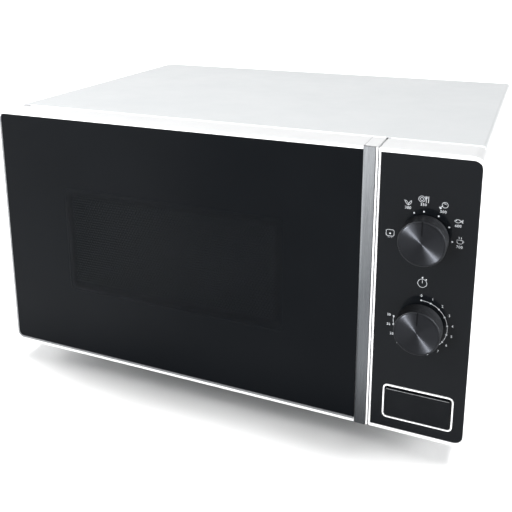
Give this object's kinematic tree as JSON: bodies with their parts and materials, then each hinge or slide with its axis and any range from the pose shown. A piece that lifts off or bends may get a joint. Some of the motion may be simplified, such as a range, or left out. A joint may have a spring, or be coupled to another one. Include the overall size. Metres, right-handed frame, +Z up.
{
  "type": "countertop microwave oven",
  "caption": "White countertop microwave oven with a side-hinged dark glass door, two dials, a push-button door release and a turntable.",
  "frame": {"origin": "on the surface that the feet stand on, under the middle of the bounding box", "axes": "+X to the right seen from the front, +Y from the front to the back, +Z up"},
  "size_m": [0.452, 0.351, 0.262],
  "materials": {
    "white_enamel": "satin white enamel",
    "white_plastic": "satin moulded plastic",
    "black_glass": "dark tinted glass, gloss",
    "black_plastic": "satin black moulded plastic",
    "black_metal": "black anodised, spun face",
    "silver_trim": "satin silver",
    "zinc_steel": "zinc-plated sheet",
    "dark_steel": "dark phosphated sheet",
    "grey_enamel": "grey speckled enamel",
    "clear_film": "clear",
    "tray_glass": "clear pressed glass",
    "grey_plastic": "moulded plastic",
    "mica": "mica sheet",
    "copper": "enamelled copper wire",
    "lamination": "varnished iron laminations",
    "aluminium": "plain aluminium",
    "board": "circuit board",
    "rubber": "soft foot"
  },
  "bodies": {
    "root": {"base_plate": "zinc_steel", "button_bezel": "white_plastic", "cavity_liner": "grey_enamel", "control_panel_fascia": "black_glass", "control_panel_housing": "white_plastic", "cord_gland": "black_plastic", "fan_motor_coil": "copper", "fan_motor_core": "lamination", "fan_shroud": "grey_plastic", "foot_front_left": "rubber", "foot_front_right": "rubber", "foot_rear_left": "rubber", "foot_rear_right": "rubber", "front_plate": "grey_enamel", "hv_capacitor": "aluminium", "hv_diode": "black_plastic", "interlock_bracket": "white_plastic", "lamp_housing": "zinc_steel", "lower_hinge": "zinc_steel", "magnetron_anode": "aluminium", "magnetron_filter_box": "zinc_steel", "magnetron_yoke": "zinc_steel", "noise_filter_board": "board", "outer_cover": "white_enamel", "oven_lamp": "clear_film", "primary_switch": "black_plastic", "primary_winding": "copper", "rear_panel": "zinc_steel", "secondary_switch": "black_plastic", "secondary_winding": "copper", "timer_unit": "zinc_steel", "transformer_core": "lamination", "turntable_motor": "zinc_steel", "upper_hinge": "zinc_steel", "waveguide": "zinc_steel", "waveguide_cover": "mica"},
    "door": {"door_frame": "white_plastic", "door_glass": "black_glass", "door_trim_strip": "silver_trim", "door_panel": "grey_enamel", "door_screen": "dark_steel", "inner_window": "clear_film", "choke_cover": "grey_plastic", "latch_spring": "zinc_steel"},
    "latch": {"latch_hooks": "white_plastic"},
    "button": {"release_button": "black_plastic"},
    "lever": {"release_lever": "white_plastic"},
    "power_dial": {"power_knob": "black_metal", "power_shaft": "zinc_steel"},
    "timer_dial": {"timer_knob": "black_metal", "timer_shaft": "zinc_steel"},
    "turntable": {"turntable_coupler": "grey_plastic", "glass_tray": "tray_glass"},
    "ring": {"roller_ring": "grey_plastic"},
    "wheel_1": {"roller_wheel_1": "white_plastic"},
    "wheel_2": {"roller_wheel_2": "white_plastic"},
    "wheel_3": {"roller_wheel_3": "white_plastic"},
    "fan": {"fan_blade": "grey_plastic", "fan_rotor": "dark_steel"}
  },
  "joints": [
    {"name": "door_hinge", "type": "hinge", "parent": "root", "child": "door", "pos_m": [-0.219, -0.1505, 0.131], "axis": [0, 0, -1], "range_deg": [0, 105]},
    {"name": "latch_slide", "type": "slide", "parent": "door", "child": "latch", "axis": [0, 0, 1], "range_m": [0, 0.004], "deforming": ["latch_spring"]},
    {"name": "button_slide", "type": "slide", "parent": "root", "child": "button", "axis": [0, 1, 0], "range_m": [0, 0.005], "stiffness_N_per_m": 300},
    {"name": "lever_pivot", "type": "hinge", "parent": "root", "child": "lever", "pos_m": [0.15, -0.1225, 0.06], "axis": [1, 0, 0], "range_deg": [0, 17]},
    {"name": "power_turn", "type": "hinge", "parent": "root", "child": "power_dial", "pos_m": [0.1848, -0.1595, 0.1931], "axis": [0, 1, 0], "range_deg": [-92, 92]},
    {"name": "timer_turn", "type": "hinge", "parent": "root", "child": "timer_dial", "pos_m": [0.1849, -0.1595, 0.1186], "axis": [0, 1, 0], "range_deg": [0, 279]},
    {"name": "turntable_spin", "type": "hinge", "parent": "root", "child": "turntable", "pos_m": [-0.045, 0.01605, 0.0586], "axis": [0, 0, 1], "continuous": true},
    {"name": "ring_spin", "type": "hinge", "parent": "root", "child": "ring", "pos_m": [-0.045, 0.01605, 0.0508], "axis": [0, 0, 1], "continuous": true},
    {"name": "wheel_1_spin", "type": "hinge", "parent": "ring", "child": "wheel_1", "pos_m": [-0.045, 0.10405, 0.0508], "axis": [0, 1, 0], "continuous": true},
    {"name": "wheel_2_spin", "type": "hinge", "parent": "ring", "child": "wheel_2", "pos_m": [-0.12121, -0.02795, 0.0508], "axis": [-0.866, -0.5, 0], "continuous": true},
    {"name": "wheel_3_spin", "type": "hinge", "parent": "ring", "child": "wheel_3", "pos_m": [0.03121, -0.02795, 0.0508], "axis": [0.866, -0.5, 0], "continuous": true},
    {"name": "fan_spin", "type": "hinge", "parent": "root", "child": "fan", "pos_m": [0.168, 0.15, 0.15], "axis": [0, 1, 0], "continuous": true}
  ],
  "couplings": [
    {"joint": "lever_pivot", "follows": "button_slide", "rad_per_m": 56},
    {"joint": "latch_slide", "follows": "button_slide", "ratio": 0.8},
    {"joint": "ring_spin", "follows": "turntable_spin", "ratio": 0.5},
    {"joint": "wheel_1_spin", "follows": "turntable_spin", "ratio": -5.8667},
    {"joint": "wheel_2_spin", "follows": "turntable_spin", "ratio": -5.8667},
    {"joint": "wheel_3_spin", "follows": "turntable_spin", "ratio": -5.8667}
  ]
}
